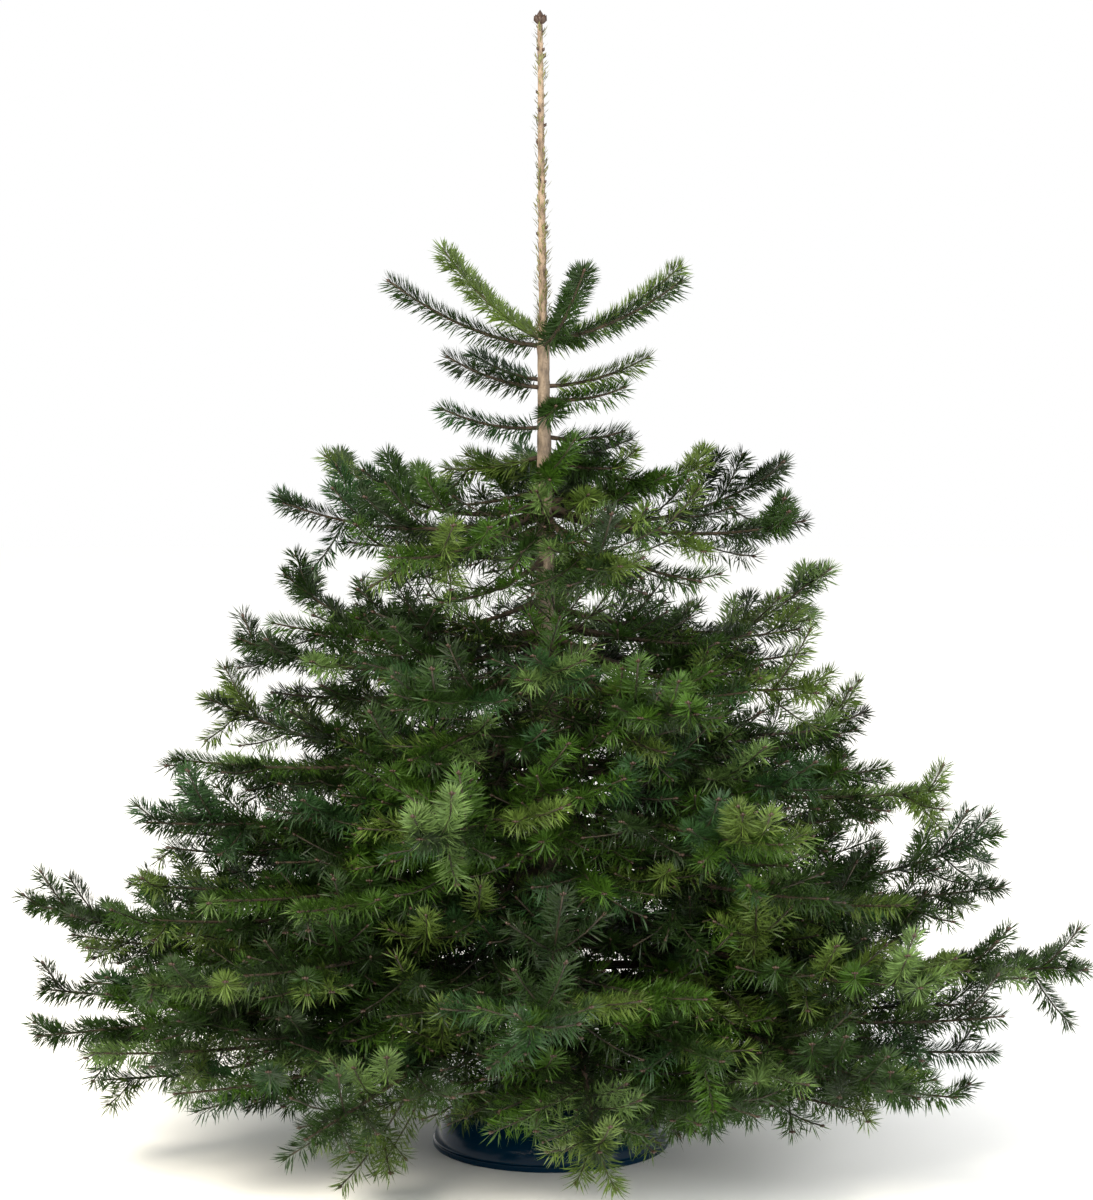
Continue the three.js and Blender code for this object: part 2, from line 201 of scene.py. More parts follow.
def trunk_radius(height):
    """The trunk's radius at a height, or at an array of heights."""
    height = np.asarray(height, float)
    share = np.clip(height / LEADER_FOOT, 0, 1)
    below = TRUNK_FOOT_RADIUS + (LEADER_FOOT_RADIUS - TRUNK_FOOT_RADIUS) * share ** TRUNK_TAPER
    below = below + ROOT_FLARE * np.exp(-height / ROOT_FLARE_HEIGHT)
    along = (height - LEADER_FOOT) / (TREE_TOP - LEADER_FOOT)
    above = LEADER_NECK_RADIUS + (LEADER_TIP_RADIUS - LEADER_NECK_RADIUS) * along
    return np.where(height > LEADER_FOOT, above, below)


def trunk_centre(height):
    return np.array([TRUNK_LEAN * height / TREE_TOP, 0.0, height])


def lattice_noise(u, v, cells_u, cells_v, seed):
    """Smooth noise from -1 to 1 over u and v in 0 to 1, the same at both ends of u."""
    lattice = np.random.default_rng(seed).uniform(-1, 1, (cells_v + 2, cells_u))
    x, y = (u % 1) * cells_u, np.clip(v, 0, 1) * cells_v
    i, j = np.floor(x).astype(int) % cells_u, np.floor(y).astype(int)
    fx, fy = x - np.floor(x), y - np.floor(y)
    fx, fy = fx * fx * (3 - 2 * fx), fy * fy * (3 - 2 * fy)
    near = lattice[j, i] * (1 - fx) + lattice[j, (i + 1) % cells_u] * fx
    far = lattice[j + 1, i] * (1 - fx) + lattice[j + 1, (i + 1) % cells_u] * fx
    return near * (1 - fy) + far * fy


def tube(centres, sides_at, overs_at, radii):
    """Vertices and faces of a round tube: radii has a row for each centre and a column for each side."""
    rings, sides = radii.shape
    turn = 2 * np.pi * np.arange(sides) / sides
    ring = sides_at[:, None, :] * np.cos(turn)[None, :, None]
    ring = ring + overs_at[:, None, :] * np.sin(turn)[None, :, None]
    vertices = (centres[:, None, :] + ring * radii[:, :, None]).reshape(-1, 3)
    a = (np.arange(rings - 1)[:, None] * sides + np.arange(sides)[None, :]).ravel()
    b = (np.arange(rings - 1)[:, None] * sides + (np.arange(sides)[None, :] + 1) % sides).ravel()
    quads = np.stack([a, b, b + sides, a + sides], 1)
    low, high = len(vertices), len(vertices) + 1
    vertices = np.vstack([vertices, centres[0], centres[-1]])
    edge = np.arange(sides)
    following = (edge + 1) % sides
    last = (rings - 1) * sides
    caps = np.vstack([
        np.stack([following, edge, np.full(sides, low)], 1),
        np.stack([last + edge, last + following, np.full(sides, high)], 1),
    ])
    return vertices, quads, caps


heights = np.arange(TRUNK_FOOT, LEADER_END, RING_STEP)
u = np.tile(np.arange(TRUNK_SIDES) / TRUNK_SIDES, (len(heights), 1))
v = np.tile((heights / TREE_TOP)[:, None], (1, TRUNK_SIDES))
radii = np.tile(trunk_radius(heights)[:, None], (1, TRUNK_SIDES))
age_share = np.clip(1 - heights / TREE_TOP, 0, 1)[:, None]
radii += BARK_WAVES * (0.35 + age_share) * lattice_noise(u, v, 5, 26, 1)
radii += BARK_RIDGES * (0.5 + age_share) * lattice_noise(u, v, 22, 110, 2)
radii += BARK_GRAIN * lattice_noise(u, v, 16, 420, 3)
for whorl_height in WHORL_HEIGHTS:
    swell = np.exp(-((heights - whorl_height) / WHORL_SWELL_HEIGHT) ** 2)[:, None]
    radii += swell * (WHORL_SWELL + WHORL_SCARS * lattice_noise(u, v, 9, 220, 4))


def spot(z, turn, breadth, length):
    """A rounded spot at a height and a share of the way round: 1 in its middle, 0 away from it."""
    across = ((u - turn + 0.5) % 1 - 0.5) * 2 * np.pi * radii
    return np.exp(-(across / breadth) ** 2 - ((heights[:, None] - z) / length) ** 2)


bark_rng = np.random.default_rng(5)
for _ in range(BLISTERS):
    z, turn = BLISTERS_LOWEST + BLISTERS_SPAN * bark_rng.random() ** 1.3, bark_rng.random()
    size = bark_rng.uniform(*BLISTER_SIZES)
    radii += BLISTER_RISE * spot(z, turn, 1.5 * size, size)
for _ in range(LEADER_PEGS):
    z, turn = bark_rng.uniform(LEADER_FOOT + 0.01, TREE_TOP - 0.03), bark_rng.random()
    radii += PEG_RISE * spot(z, turn, PEG_BREADTH, PEG_LENGTH)

centres = np.array([trunk_centre(h) for h in heights])
flat = np.tile([1.0, 0, 0], (len(heights), 1))
upright = np.tile([0, 1.0, 0], (len(heights), 1))
vertices, quads, caps = tube(centres, flat, upright, radii)


def noise(tree, place, cell, detail, roughness=0.5):
    """Noise from 0 to 1, in cells of that many millimetres."""
    return add(tree, "ShaderNodeTexNoise", {
        "Vector": place, "Scale": 1000 / cell, "Detail": detail, "Roughness": roughness}).outputs["Fac"]


def spread(tree, value, start, end, low=0.0, high=1.0):
    """A number that runs from low to high while the value runs from start to end."""
    return add(tree, "ShaderNodeMapRange", {
        "Value": value, "From Min": start, "From Max": end, "To Min": low, "To Max": high}).outputs["Result"]


def ramp(tree, value, *stops):
    """A colour by the value, from two stops, each a value and a hex colour."""
    made = add(tree, "ShaderNodeValToRGB", {"Fac": value})
    for element, (position, hex_colour) in zip(made.color_ramp.elements, stops):
        element.position, element.color = position, linear(hex_colour)
    return made.outputs["Color"]


def mixed(tree, share, first, second):
    """A colour between two, with that share of the second."""
    return add(tree, "ShaderNodeMix", {"Factor": share, 6: first, 7: second}, data_type="RGBA").outputs[2]


def bumps(tree, height, strength, distance):
    """The normal of a surface with that height's bumps in it."""
    return add(tree, "ShaderNodeBump", {
        "Height": height, "Strength": strength, "Distance": distance}).outputs["Normal"]


# Fir bark: matt grey-beige cork with darker blister marks low down, turning smoother in the leader.
bark, tree = new_material("smooth_fir_bark")
place = add(tree, "ShaderNodeTexCoord").outputs["Object"]
height = add(tree, "ShaderNodeSeparateXYZ", {"Vector": place}).outputs["Z"]
young = spread(tree, height, LEADER_FOOT - 0.03, LEADER_FOOT + 0.06)
stretched = add(tree, "ShaderNodeMapping", {"Vector": place, "Scale": (1, 1, 0.45)}).outputs["Vector"]
mottle = noise(tree, stretched, 9, 5, 0.6)
fine = noise(tree, place, 2.2, 3, 0.65)
old_tone = ramp(tree, mottle, (0.34, "50453b"), (0.68, "8c7c6a"))
young_tone = ramp(tree, mottle, (0.36, "594a3d"), (0.62, "8f7c68"))
tone = mixed(tree, young, old_tone, young_tone)
tone = mixed(tree, spread(tree, fine, 0.56, 0.7), tone, linear("5a4a3a"))
finish_surface(tree, Base_Color=tone, Roughness=0.82, Normal=bumps(tree, fine, 0.35, 0.0006))

trunk = new_piece("trunk_bark", vertices, [quads, caps], bark, smooth=True)
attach(trunk, "root")
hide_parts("trunk")


# ======================================================================================= boughs
# Each year the fir grew one whorl of boughs. A bough leaves the trunk as a bare brown limb and every year
# has added a length to its tip, with a flat pair of side shoots at each joint, which fork in the same way.

WHORL_STEP = 0.004              # every other bough of a whorl stands this much higher, the rest lower
LIMB_SLANT = 0.35               # how far the bare limbs bend aside
LIMB_RISE = 0.25                # ...and up or down
AXIS_STEP = 0.02
PAST_TIP = 0.010                # how far needles stand out past the end of the wood
SIDE_SHOOT_ANGLE = math.radians(54)
SIDE_SHOOT_SHARE = 0.84         # a one-year side shoot's length, of the bough's growth in a year
AGE_POWER = 0.75                # ...and an older one is longer by this power of its age
SHOOT_DRIFT = 0.38              # how far a bough's side shoots point up or down
SIDE_SHOOT_LIFT, SIDE_SHOOT_SWAY = 0.18, 0.06
FORK_AGE = 3
FORKING_YEARS = 5
FORK_ANGLES = (42, 58)
FORK_LENGTHS = (0.85, 1.15)
FORK_LIFTS = (0.05, 0.3)
FINE_SWAY = 0.08
FAN_SINK = -0.04
FAN_RAGGEDNESS = 0.22           # how far finer shoots stray up or down out of their fan
FINEST_ORDER = 4
BARREN_JOINTS = 0.5             # share of the joints on finer shoots that never forked
FILLER_ANGLES = (42, 62)
FILLER_SPREAD = 42
FILLER_LENGTHS = (0.065, 0.095)
FILLER_LIFT = 0.25
ARC_STEP = 0.022
UP = np.array([0.0, 0.0, 1.0])
# A row for each whorl: name, height, years, share of bare limb, how far its boughs hang below the straight
# line to their tips, against their reach and against the tips' lift, and its boughs by direction in degrees,
# reach, lift of the tip, and a height of its own where it stands between whorls.
WHORLS = [
    ("crown", 1.068, 1, 0, (0.35, 0), [
        (18, 0.200, 0.112), (-18, 0.195, 0.084), (-73, 0.185, 0.108), (135, 0.200, 0.127),
        (186, 0.210, 0.092)]),
    ("between", 0.980, 1, 0, (0.3, 0), [
        (5, 0.145, 0.042, 1.016), (188, 0.135, 0.046, 1.006), (152, 0.112, 0.036, 1.024),
        (-22, 0.122, 0.020, 0.992), (196, 0.146, 0.030, 0.962), (-80, 0.098, 0.018, 0.972),
        (-4, 0.112, 0.010, 0.950), (20, 0.130, 0.022, 0.918)]),
    ("upper", 0.852, 2, 0, (0.3, 1.0), [
        (10, 0.330, 0.060), (-22, 0.365, -0.008), (-72, 0.310, -0.045), (232, 0.320, -0.045),
        (186, 0.350, 0.016), (157, 0.330, 0.062), (84, 0.300, 0.062)]),
    ("middle", 0.684, 3, 0, (0.35, 1.5), [
        (15, 0.395, 0.088), (-17, 0.385, -0.055), (-62, 0.400, -0.052), (248, 0.400, -0.040),
        (197, 0.420, 0.016), (160, 0.385, 0.070), (88, 0.370, 0.060)]),
    ("broad", 0.510, 4, 0, (0.2, 0.5), [
        (17, 0.460, 0.060), (-7, 0.530, -0.025), (-55, 0.500, -0.030), (252, 0.500, -0.020),
        (200, 0.550, -0.040), (165, 0.480, 0.070), (92, 0.480, 0.060)]),
    ("lower", 0.352, 5, 0.27, (0.3, 0.5), [
        (13, 0.640, 0.050), (-38, 0.600, -0.060), (-92, 0.610, -0.050), (217, 0.620, -0.060),
        (173, 0.710, -0.040), (96, 0.600, 0.015)]),
    ("lowest", 0.240, 5, 0.27, (0.05, 0), [
        (-6, 0.712, 0.018), (-43, 0.620, -0.080), (-84, 0.560, -0.104), (238, 0.560, -0.118),
        (197, 0.690, -0.045), (92, 0.590, -0.020)]),
]


def dice(seed):
    """Numbers from 0 to 1 that are the same for the same seed."""
    state = seed
    while True:
        state = (state * 16807) % 2147483647
        yield state / 2147483647


def unit(vector):
    return vector / np.linalg.norm(vector)


def bough_line(whorl_height, limb, hang, bough, seed, step):
    """A bough's line, from share 0 in the trunk to share 1 at its tip."""
    turn, reach, lift, height = (*bough, whorl_height)[:4]
    slant = LIMB_SLANT * (next(dice(seed)) - 0.5) * limb * reach
    foot = trunk_centre(height + step)
    out = np.array([math.cos(math.radians(turn)), math.sin(math.radians(turn)), 0])
    side = np.array([-out[1], out[0], 0])
    sag = hang[0] * reach + hang[1] * max(lift, 0)

    def line(share):
        bend = max(0, 1 - share / limb) ** 2 - 1 if limb else 0
        rise = lift * share + LIMB_RISE * slant * bend * (1 - share) - sag * share * (1 - share)
        return foot + out * reach * share + side * slant * bend * (1 - share) + UP * rise
    return line


class Shoot:
    """A length of the tree's wood: its line from foot to tip, its age at the foot, and the spray it is in."""

    def __init__(self, points, age, order, spray):
        self.points, self.age, self.order, self.spray = np.array(points), age, order, spray
        self.length = np.linalg.norm(np.diff(self.points, axis=0), axis=1).sum()


def arc(foot, heading, length, lift, sway):
    """Points along a shoot that sets out on a heading, bends up by lift and sideways by sway,
    and ends a length away."""
    side = unit(np.cross(UP, heading))
    count = max(3, int(length / ARC_STEP) + 1)
    share = np.linspace(0, 1, count)[:, None]
    bend = share * share - share
    return foot + heading * length * share + UP * length * lift * bend + side * length * sway * bend


def fork_pairs(axis, age, length, order, spray, rng):
    """Grows the pair of side shoots at each yearly joint of a shoot, then theirs."""
    count = len(axis) - 1
    for year in range(1, age):
        if order > 1 and rng.random() < BARREN_JOINTS:
            continue
        at = year / age * count
        i = min(int(at), count - 1)
        foot = axis[i] + (axis[i + 1] - axis[i]) * (at - i)
        along = unit(axis[min(i + 1, count)] - axis[max(i - 1, 0)])
        side = unit(np.cross(UP, along))
        side_age = age - year
        side_length = SIDE_SHOOT_SHARE * (length / age) * side_age ** AGE_POWER * rng.uniform(*FORK_LENGTHS)
        for way in (-1, 1):
            angle = math.radians(rng.uniform(*FORK_ANGLES))
            heading = unit(along * math.cos(angle) + side * way * math.sin(angle)
                           + UP * rng.normal(FAN_SINK, FAN_RAGGEDNESS))
            points = arc(foot, heading, side_length, rng.uniform(*FORK_LIFTS), rng.normal(0, FINE_SWAY))
            shoots.append(Shoot(points, side_age, order + 1, spray))
            if side_age > 1 and order < FINEST_ORDER:
                fork_pairs(points, side_age, side_length, order + 1, spray, rng)


def grow_bough(line, years, reach, limb, roll, rng, fillers):
    """Grows a bough: its axis, a pair of side shoots at each yearly joint, and small shoots in
    between, as many for each year as fillers says."""
    count = max(5, int(reach / AXIS_STEP))
    axis = np.array([line(share) for share in np.linspace(0, 1 - PAST_TIP / reach, count)])
    limbs.append((axis, years, reach))
    shoots.append(Shoot(axis, years, 0, next(sprays)))
    for age in range(1, years):
        share = (years - age) / years
        if share < limb + 0.05:
            continue
        foot = line(share)
        along = unit(line(1) - foot)
        side = unit(np.cross(UP, along))
        length = SIDE_SHOOT_SHARE * (reach / years) * age ** AGE_POWER * (0.9 + 0.2 * next(roll)) - PAST_TIP
        for way in (-1, 1):
            drift = 2 * SHOOT_DRIFT * (next(roll) - 0.5)
            heading = unit(along * math.cos(SIDE_SHOOT_ANGLE)
                           + side * way * math.sin(SIDE_SHOOT_ANGLE) + UP * drift)
            points = arc(foot, heading, length, SIDE_SHOOT_LIFT, rng.normal(0, SIDE_SHOOT_SWAY))
            spray = next(sprays)
            shoots.append(Shoot(points, age, 1, spray))
            fork_pairs(points, age, length, 1, spray, rng)
            # Older side shoots fork in the solids too, which takes one more of the shared draws.
            if age >= FORK_AGE and years >= FORKING_YEARS:
                next(roll)
    for year in range(years):
        low, high = max((year + 0.15) / years, limb * 0.6 + 0.05), (year + 0.9) / years
        spray = next(sprays)
        for k in range(fillers if high > low else 0):
            share = rng.uniform(low, high)
            foot = line(share)
            along = unit(line(1) - line(0.9 * share))
            side = unit(np.cross(UP, along))
            spin = math.radians(rng.normal(180 * (k % 2), FILLER_SPREAD) + (90 if k == 2 else 0))
            lean = math.radians(rng.uniform(*FILLER_ANGLES))
            out = side * math.cos(spin) + UP * math.sin(spin)
            heading = unit(along * math.cos(lean) + out * math.sin(lean))
            age = 2 if years - year > 2 else 1
            length = min(rng.uniform(*FILLER_LENGTHS) * age, (1 - share) * reach + 0.012)
            points = arc(foot, heading, length, FILLER_LIFT, rng.normal(0, FINE_SWAY))
            shoots.append(Shoot(points, age, 2, spray))
            fork_pairs(points, age, length, 2, spray, rng)


shoots, limbs, sprays = [], [], itertools.count()
for w, (_, whorl_height, years, limb, hang, boughs) in enumerate(WHORLS):
    for b, bough in enumerate(boughs):
        seed = 1000 * (w + 1) + 37 * (b + 1)
        line = bough_line(whorl_height, limb, hang, bough, seed, WHORL_STEP if b % 2 else -WHORL_STEP)
        fillers = 4 if years > 1 else 0
        grow_bough(line, years, bough[1], limb, dice(seed + 7), np.random.default_rng(seed), fillers)

# Short boughs that grew from the trunk between the whorls, as on most firs: lowest and highest foot,
# reach, years, how many stand round the trunk, and how far the most drooping tip sinks against the reach.
SHORT_BOUGHS = [
    (0.265, 0.335, 0.49, 4, 9, 0.16), (0.375, 0.490, 0.43, 3, 11, 0.3), (0.535, 0.660, 0.35, 3, 11, 0.3),
    (0.705, 0.855, 0.26, 2, 13, 0.3), (0.865, 0.925, 0.14, 1, 9, 0.3)]
# Boughs that stand in the gaps of the whorls: direction, reach, lift, foot and years.
GAP_BOUGHS = [
    (-19, 0.62, -0.010, 0.228, 4), (-31, 0.60, -0.082, 0.220, 4), (-62, 0.54, -0.070, 0.226, 4),
    (207, 0.65, -0.038, 0.230, 4), (219, 0.60, -0.058, 0.218, 4), (150, 0.58, -0.030, 0.226, 4),
    (122, 0.52, -0.050, 0.220, 4), (40, 0.58, -0.030, 0.224, 4), (66, 0.52, -0.050, 0.220, 4),
    (183, 0.68, -0.045, 0.262, 4), (184, 0.50, -0.020, 0.545, 4), (190, 0.56, -0.030, 0.400, 4),
    (183, 0.51, -0.030, 0.435, 4), (2, 0.46, -0.010, 0.515, 4), (5, 0.55, -0.020, 0.330, 4),
    (-3, 0.34, 0.000, 0.695, 2),
    (214, 0.52, -0.030, 0.415, 4), (232, 0.50, -0.040, 0.430, 4), (203, 0.55, -0.030, 0.375, 4),
    (226, 0.54, -0.040, 0.350, 4), (-28, 0.52, -0.030, 0.400, 4), (-46, 0.50, -0.030, 0.430, 4),
    (178, 0.37, 0.010, 0.690, 3), (181, 0.64, -0.020, 0.305, 4), (4, 0.62, -0.030, 0.370, 4),
    (-13, 0.60, -0.070, 0.225, 4), (2, 0.35, 0.000, 0.660, 3), (176, 0.46, -0.020, 0.520, 4),
    (176, 0.66, -0.030, 0.330, 4), (185, 0.62, -0.050, 0.280, 4), (-6, 0.585, -0.040, 0.245, 4),
    (3, 0.45, 0.000, 0.445, 3), (10, 0.43, 0.030, 0.520, 3), (182, 0.37, -0.020, 0.630, 3),
    (186, 0.50, -0.040, 0.470, 4), (5, 0.22, 0.050, 0.860, 2), (184, 0.27, -0.010, 0.820, 2),
    (190, 0.60, -0.115, 0.225, 4), (-36, 0.50, -0.100, 0.215, 4), (-68, 0.49, -0.075, 0.215, 4)]
short_boughs = list(GAP_BOUGHS)
for row, (low, high, reach, years, count, droop) in enumerate(SHORT_BOUGHS):
    rng = np.random.default_rng(900 + row)
    for k in range(count):
        turn = 360 * (k + 0.5 * rng.random()) / count + 47 * row
        own_reach = reach * rng.uniform(0.75, 1.1)
        lift = own_reach * rng.uniform(-droop, 0.02)
        short_boughs.append((turn, own_reach, lift, rng.uniform(low, high), years))
for k, (*bough, years) in enumerate(short_boughs):
    line = bough_line(0, 0, (0.2, 0), bough, 500 + k, 0)
    grow_bough(line, years, bough[1], 0, dice(700 + k), np.random.default_rng(9000 + k), 1)
spray_count = next(sprays)


def frames(points):
    """Directions along, across and over a line of points, over being the one that stands up."""
    along = np.gradient(points, axis=0)
    along /= np.linalg.norm(along, axis=1)[:, None]
    side = np.cross(UP, along)
    side /= np.maximum(np.linalg.norm(side, axis=1)[:, None], 1e-6)
    return along, side, np.cross(along, side)


def joined_tubes(items, sides):
    """One set of vertices and faces from many tubes, each item being its points and its table of radii."""
    all_vertices, all_quads, all_caps, count = [], [], [], 0
    for points, radii in items:
        _, side, over = frames(points)
        vertices, quads, caps = tube(points, side, over, radii)
        all_vertices.append(vertices)
        all_quads.append(quads + count)
        all_caps.append(caps + count)
        count += len(vertices)
    return np.vstack(all_vertices), np.vstack(all_quads), np.vstack(all_caps)


# Bough bark: thin and brown, rougher than the trunk's, with the pegs of old needles.
bough_bark, tree = new_material("brown_bough_bark")
place = add(tree, "ShaderNodeTexCoord").outputs["Object"]
grain = noise(tree, place, 6, 5, 0.65)
tone = ramp(tree, grain, (0.35, "1e1710"), (0.7, "463725"))
finish_surface(tree, Base_Color=tone, Roughness=0.85, Normal=bumps(tree, grain, 0.5, 0.001))

LIMB_SIDES = 14
LIMB_TIP_RADIUS = 0.0012
LIMB_FIRST_YEAR = 0.0010        # thicker than its tip by this at the foot, and by more for each year
LIMB_PER_YEAR = 0.00095
LIMB_TAPER = 1.15
LIMB_COLLAR, LIMB_COLLAR_LENGTH = 0.0022, 0.012
items = []
for index, (points, years, reach) in enumerate(limbs):
    share = np.linspace(0, 1, len(points))
    radius = LIMB_TIP_RADIUS + (LIMB_FIRST_YEAR + LIMB_PER_YEAR * years) * (1 - share) ** LIMB_TAPER
    past_bark = share * reach - trunk_radius(points[0, 2])
    collar = LIMB_COLLAR * np.exp(-(past_bark / LIMB_COLLAR_LENGTH) ** 2) * (years > 1)
    u = np.tile(np.arange(LIMB_SIDES) / LIMB_SIDES, (len(points), 1))
    v = np.tile(share[:, None], (1, LIMB_SIDES))
    relief = 0.10 * lattice_noise(u, v, 5, 18, 30 + index) + 0.05 * lattice_noise(u, v, 11, 40, 90 + index)
    items.append((points, (radius + collar)[:, None] * (1 + relief)))
vertices, quads, caps = joined_tubes(items, LIMB_SIDES)
boughs_piece = new_piece("bough_bark", vertices, [quads, caps], bough_bark, smooth=True)
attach(boughs_piece, "root")
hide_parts(*[name for name in sorted(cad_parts) if name.startswith("bough_")])


# ======================================================================================= twigs
# The young wood that carries the needles: about 2 mm thick in its first year and thicker each year after.
# It is one joined mesh of thin tubes, along the side shoots' own lines.

TWIG_SIDES = 4
YOUNG_TWIG = 0.0011
TWIG_PER_YEAR = 0.0004
THICKENS_FROM = 0.4             # years

# Twig bark: thin, smooth and brown, a little blotched. Its brown is made much darker than the bark's own tan,
# as painted shade of the needles round it.
twig_wood, tree = new_material("tan_twig_bark_in_painted_shade")
place = add(tree, "ShaderNodeTexCoord").outputs["Object"]
tone = ramp(tree, noise(tree, place, 14, 3), (0.35, "19140b"), (0.65, "342b19"))
finish_surface(tree, Base_Color=tone, Roughness=0.7)

items = []
for shoot in shoots:
    if shoot.order == 0:
        continue
    share = np.linspace(0, 1, len(shoot.points))
    radius = YOUNG_TWIG + TWIG_PER_YEAR * np.maximum(shoot.age * (1 - share) - THICKENS_FROM, 0)
    items.append((shoot.points, np.tile(radius[:, None], (1, TWIG_SIDES))))
vertices, quads, caps = joined_tubes(items, TWIG_SIDES)
twigs = new_piece("twigs", vertices, [quads, caps], twig_wood, smooth=True)
mass_nodes = [name for name in sorted(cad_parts) if name.startswith("needles_")]
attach(twigs, "root")
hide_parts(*mass_nodes)


# ======================================================================================= needles
# Flat needles 17 to 31 mm long, set all round the young wood: most stand out to the sides and above, leaning
# towards the tip, and fewer hang below. They live some years, so the inner wood is nearly bare.

NEEDLE_LENGTH = 0.030
NEEDLE_LENGTHS = (0.8, 1.04)    # of that
NEEDLE_WIDTH = 0.075            # of its length
OLD_NEEDLE_WIDTH = 0.18
NEEDLE_WIDEST, NEEDLE_CURVE = 0.56, 0.07
NEEDLES = 455000                # about, on all the shoots
NEEDLES_A_PIECE = 96000
# How thickly wood of each age is needled, from this year's to the oldest.
NEEDLES_LEFT = np.array([1.0, 0.9, 0.65, 0.4, 0.25, 0.15, 0.1])

# The crown's radius by height. The shade thins the needles from the crown's edge in to the trunk.
CROWN_HEIGHTS = (0.10, 0.35, 0.51, 0.68, 0.86)
CROWN_RADII = (0.66, 0.64, 0.50, 0.40, 0.33)
SHADE = 0.12                    # how thickly wood at the trunk is needled
SHADE_POWER = 1.3
OUTER_THICKNESS = 1.3           # ...and wood at the crown's edge
OPEN_TOP = 0.86                 # the crown is open to the light above this height
THICKEST = 1.75                 # ...and needled as thickly as this

# Most needles stand to the sides and above. Spins are in degrees round the shoot, 90 being straight up, and
# leans are in degrees from the shoot's own direction.
ABOVE_SHARE = 0.8
ABOVE_SPINS, BELOW_SPINS = (-25, 205), (205, 335)
SIDE_LEAN, BELOW_LEAN, LEAN_SPREAD = 64, 66, 7
TOP_FORWARD = 22                # how much less the needles on top lean out
AIM_SPREAD = 0.06
TIP_TUFT = 0.016                # a shoot's last length, whose needles point ahead and are shorter
TUFT_FORWARD, TUFT_SHORTER = 0.35, 0.2
TOP_SHORTER = 0.14
BELOW_LENGTH = 0.96

# One colour of foliage each: name, hex colour, roughness, and the share of sprays that have it. The first
# has the needles of older wood, which are drawn more than twice as broad so that fewer close the crown.
# That wood stands mostly inside the crown, and the first colour is the darkest: partly the deeper green of
# older needles, partly painted shade of the crown's inside.
FOLIAGE = [
    ("old_green_needles", "0f1d04", 0.55, 0.0),
    ("deep_green_needles", "162905", 0.52, 0.21),
    ("dark_green_needles", "1e3508", 0.52, 0.25),
    ("leaf_green_needles", "2f4b0c", 0.5, 0.25),
    ("fresh_green_needles", "4a5e22", 0.5, 0.13),
    ("blue_green_needles", "213d1a", 0.5, 0.09),
    ("silver_green_needles", "526a34", 0.52, 0.07),
]


def wood_at(shoot, share):
    """At shares of a shoot's length: points, the wood's age in years, and how thickly it is needled."""
    reach = np.linspace(0, 1, len(shoot.points))
    points = np.stack([np.interp(share, reach, shoot.points[:, k]) for k in range(3)], 1)
    age = np.minimum(np.floor(shoot.age * (1 - share)).astype(int), len(NEEDLES_LEFT) - 1)
    crown = np.interp(points[:, 2], CROWN_HEIGHTS, CROWN_RADII)
    light = np.clip(np.hypot(points[:, 0], points[:, 1]) / crown, 0, 1) ** SHADE_POWER
    light = np.where(points[:, 2] > OPEN_TOP, THICKEST, SHADE + (OUTER_THICKNESS - SHADE) * light)
    thickness = NEEDLES_LEFT[age] * light * (1 if shoot.order else OUTER_THICKNESS)
    return points, age, np.minimum(thickness, THICKEST)


def brush(shoot, per_metre, rng):
    """Roots, aims, faces, lengths and ages of the needles along one shoot."""
    steps = np.linalg.norm(np.diff(shoot.points, axis=0), axis=1)
    reach = np.concatenate([[0], np.cumsum(steps)])
    bare = 0.0 if shoot.order else float(trunk_radius(shoot.points[0, 2])) + 0.004
    at = np.sort(rng.uniform(bare, reach[-1], int((reach[-1] - bare) * per_metre * THICKEST)))
    _, age, thickness = wood_at(shoot, at / reach[-1])
    keep = rng.random(len(at)) * THICKEST < thickness
    at, age = at[keep], age[keep]
    count = len(at)
    root, along, side, over = (np.stack([np.interp(at, reach, table[:, k]) for k in range(3)], 1)
                               for table in (shoot.points, *frames(shoot.points)))
    above = rng.random(count) < ABOVE_SHARE
    spin = np.radians(np.where(above, rng.uniform(*ABOVE_SPINS, count), rng.uniform(*BELOW_SPINS, count)))
    top = np.clip(np.sin(spin), 0, 1)
    tip_near = np.clip(1 - (reach[-1] - at) / TIP_TUFT, 0, 1)
    lean = np.where(above, SIDE_LEAN - TOP_FORWARD * top, BELOW_LEAN) + rng.normal(0, LEAN_SPREAD, count)
    lean = np.radians(lean * (1 - TUFT_FORWARD * tip_near))
    out = side * np.cos(spin)[:, None] + over * np.sin(spin)[:, None]
    aim = along * np.cos(lean)[:, None] + out * np.sin(lean)[:, None]
    aim = aim + rng.normal(0, AIM_SPREAD, (count, 3))
    aim /= np.linalg.norm(aim, axis=1)[:, None]
    face = over + 0.6 * out + 0.4 * rng.normal(0, 1, (count, 3))
    length = NEEDLE_LENGTH * rng.uniform(*NEEDLE_LENGTHS, count) * (1 - TUFT_SHORTER * tip_near)
    length *= np.where(above, 1 - TOP_SHORTER * top, BELOW_LENGTH)
    off_the_floor = root[:, 2] > NEEDLE_LENGTH
    return [column[off_the_floor] for column in (root, aim, face, length, age)]


def shape_object(name, points, faces, smooth=False):
    """A small shape to set on points, removed once it has been used."""
    mesh = bpy.data.meshes.new(name)
    mesh.from_pydata(points, [], faces)
    mesh.polygons.foreach_set("use_smooth", [smooth] * len(mesh.polygons))
    shape = bpy.data.objects.new(name, mesh)
    bpy.context.scene.collection.objects.link(shape)
    return shape


def needle_shape(name, width):
    """One needle along +X, a unit long: a narrow blade, widest past its middle, that curves up."""
    return shape_object(name, [(0, 0, 0), (NEEDLE_WIDEST, width / 2, 0.015),
                               (NEEDLE_WIDEST, -width / 2, 0.015), (1, 0, NEEDLE_CURVE)],
                        [(0, 2, 1), (2, 3, 1)])


